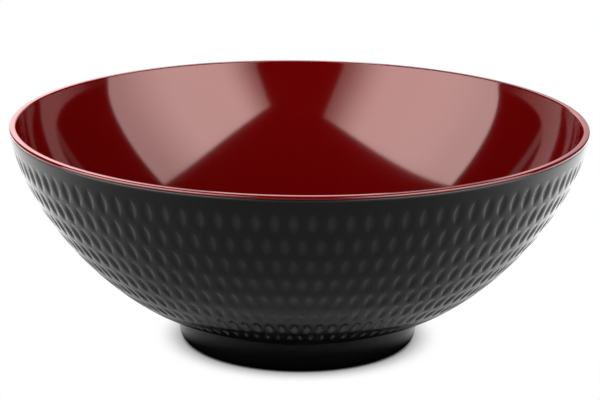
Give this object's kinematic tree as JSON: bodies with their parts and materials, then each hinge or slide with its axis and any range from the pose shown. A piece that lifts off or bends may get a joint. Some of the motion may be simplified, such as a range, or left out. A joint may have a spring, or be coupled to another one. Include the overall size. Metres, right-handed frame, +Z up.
{
  "type": "melamine serving bowl",
  "caption": "Wide serving bowl with curved wall on a raised foot ring: matt black dimpled outer shell and glossy red inner liner with a red rim.",
  "frame": {"origin": "on the bowl's axis, in the plane of the foot ring's resting face", "axes": "+Z up along the bowl's axis, from the foot to the rim; the bowl is round, so X and Y are any two directions across it, and -Y is the side that the picture shows"},
  "size_m": [0.285, 0.285, 0.1113],
  "materials": {
    "outer_black": "matt black moulded melamine",
    "liner_red": "glazed deep red moulded melamine"
  },
  "bodies": {
    "root": {"outer_shell": "outer_black", "inner_liner": "liner_red"}
  },
  "joints": []
}
